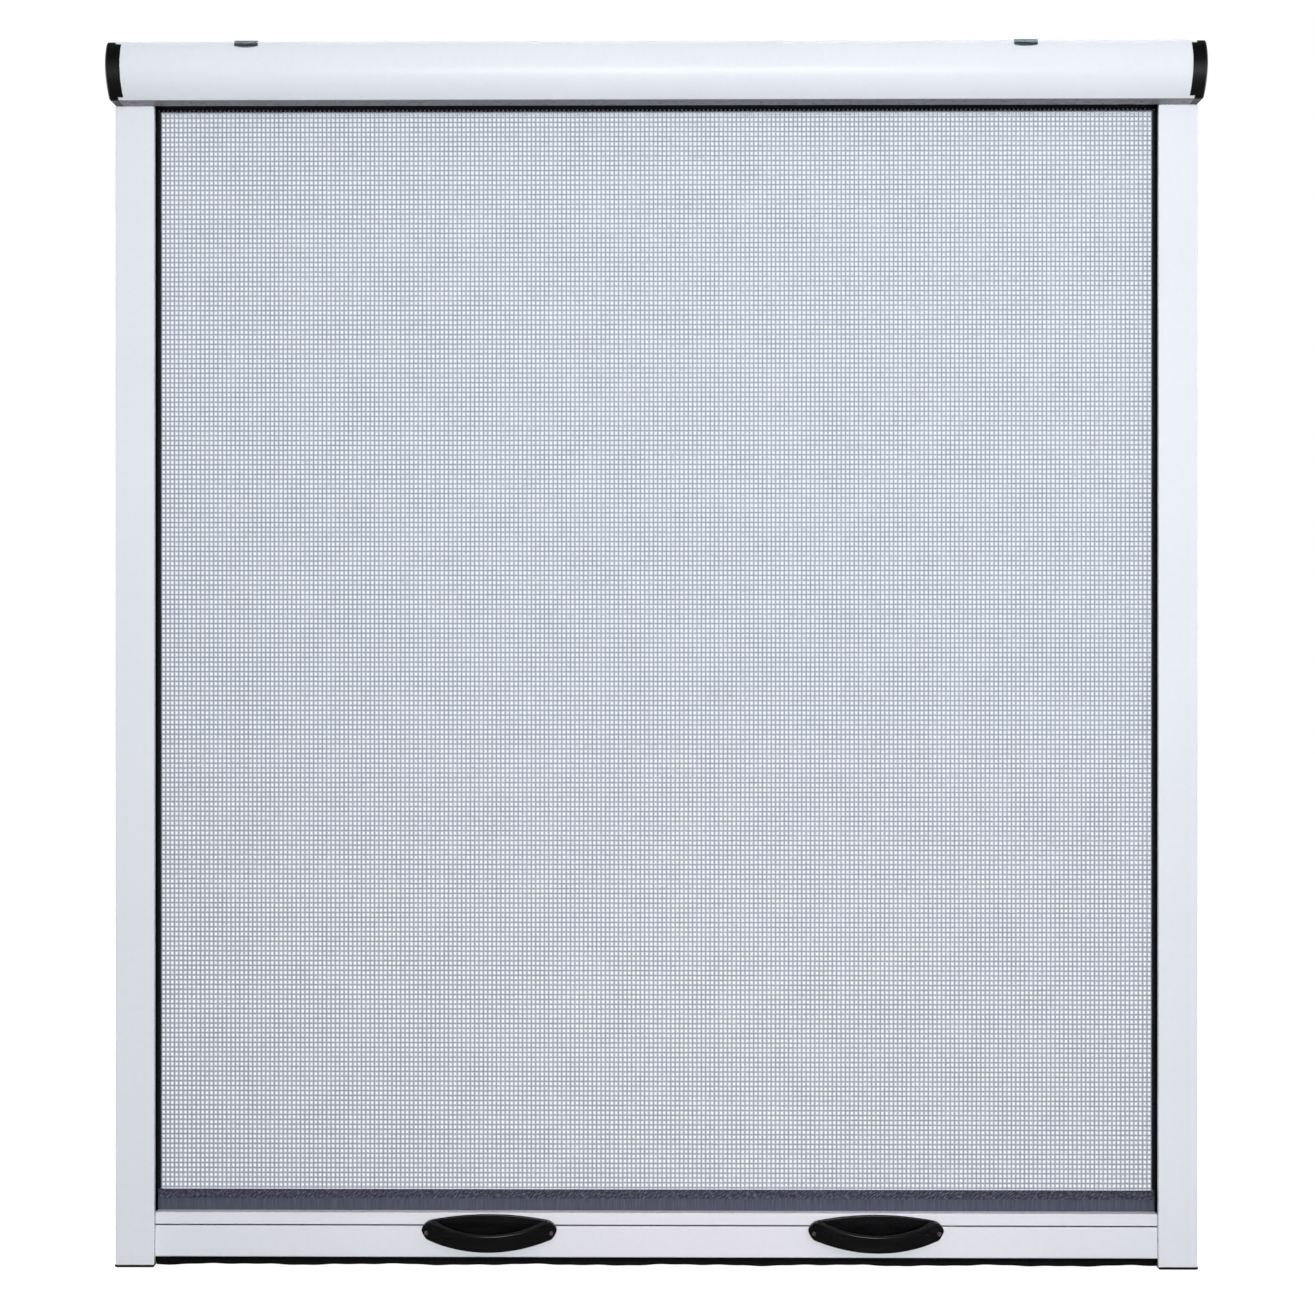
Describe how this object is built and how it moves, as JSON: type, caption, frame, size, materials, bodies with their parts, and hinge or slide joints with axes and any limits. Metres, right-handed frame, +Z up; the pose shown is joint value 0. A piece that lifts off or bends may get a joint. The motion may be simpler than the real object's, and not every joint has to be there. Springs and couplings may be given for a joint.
{
  "type": "window screen frame",
  "caption": "Vertical roller insect screen for a window: spring roller in a cassette, two brush-lined guide rails, fine mesh and a sliding bottom bar with finger handles.",
  "frame": {"origin": "bottom centre of the closed screen: midway between the guide rails, level with the soles of the feet, in the plane of the rails' front faces", "axes": "+X to the right as seen from the front, +Y from the front to the back, +Z up along the guide rails"},
  "size_m": [0.8, 0.0442, 0.9008],
  "materials": {
    "white_powder_coat": "satin",
    "bare_aluminium": "satin",
    "black_plastic": "satin",
    "black_brush_pile": "matte",
    "zinc_plated_steel": "satin",
    "grey_mesh": "matte",
    "slate_band": "matte"
  },
  "bodies": {
    "frame": {"cassette": "white_powder_coat", "cassette_brush": "black_brush_pile", "end_cap_left": "black_plastic", "end_cap_right": "black_plastic", "clip_left": "zinc_plated_steel", "clip_right": "zinc_plated_steel", "guide_left": "white_powder_coat", "guide_right": "white_powder_coat", "guide_foot_left": "black_plastic", "guide_foot_right": "black_plastic", "guide_brush_left_front": "black_brush_pile", "guide_brush_left_rear": "black_brush_pile", "guide_brush_right_front": "black_brush_pile", "guide_brush_right_rear": "black_brush_pile", "spring_shaft": "zinc_plated_steel", "torsion_spring": "zinc_plated_steel", "idle_pin": "zinc_plated_steel", "screen_mesh": "grey_mesh"},
    "roller": {"roller_tube": "bare_aluminium", "roller_plug_left": "black_plastic", "roller_plug_right": "black_plastic", "spring_anchor": "black_plastic", "mesh_roll": "grey_mesh"},
    "bar": {"bottom_bar": "white_powder_coat", "bar_plug_left": "black_plastic", "bar_plug_right": "black_plastic", "bar_brush": "black_brush_pile", "mesh_band": "slate_band", "band_spline": "black_plastic", "handle_left": "black_plastic", "handle_right": "black_plastic"}
  },
  "joints": [
    {"name": "bar_slide", "type": "slide", "parent": "frame", "child": "bar", "axis": [0, 0, 1], "range_m": [0, 0.815], "deforming": ["screen_mesh"]},
    {"name": "roller_spin", "type": "hinge", "parent": "frame", "child": "roller", "pos_m": [0, 0.0004, 0.8804], "axis": [1, 0, 0], "range_deg": [0, 3850]}
  ],
  "couplings": [
    {"joint": "roller_spin", "follows": "bar_slide", "rad_per_m": 82}
  ]
}
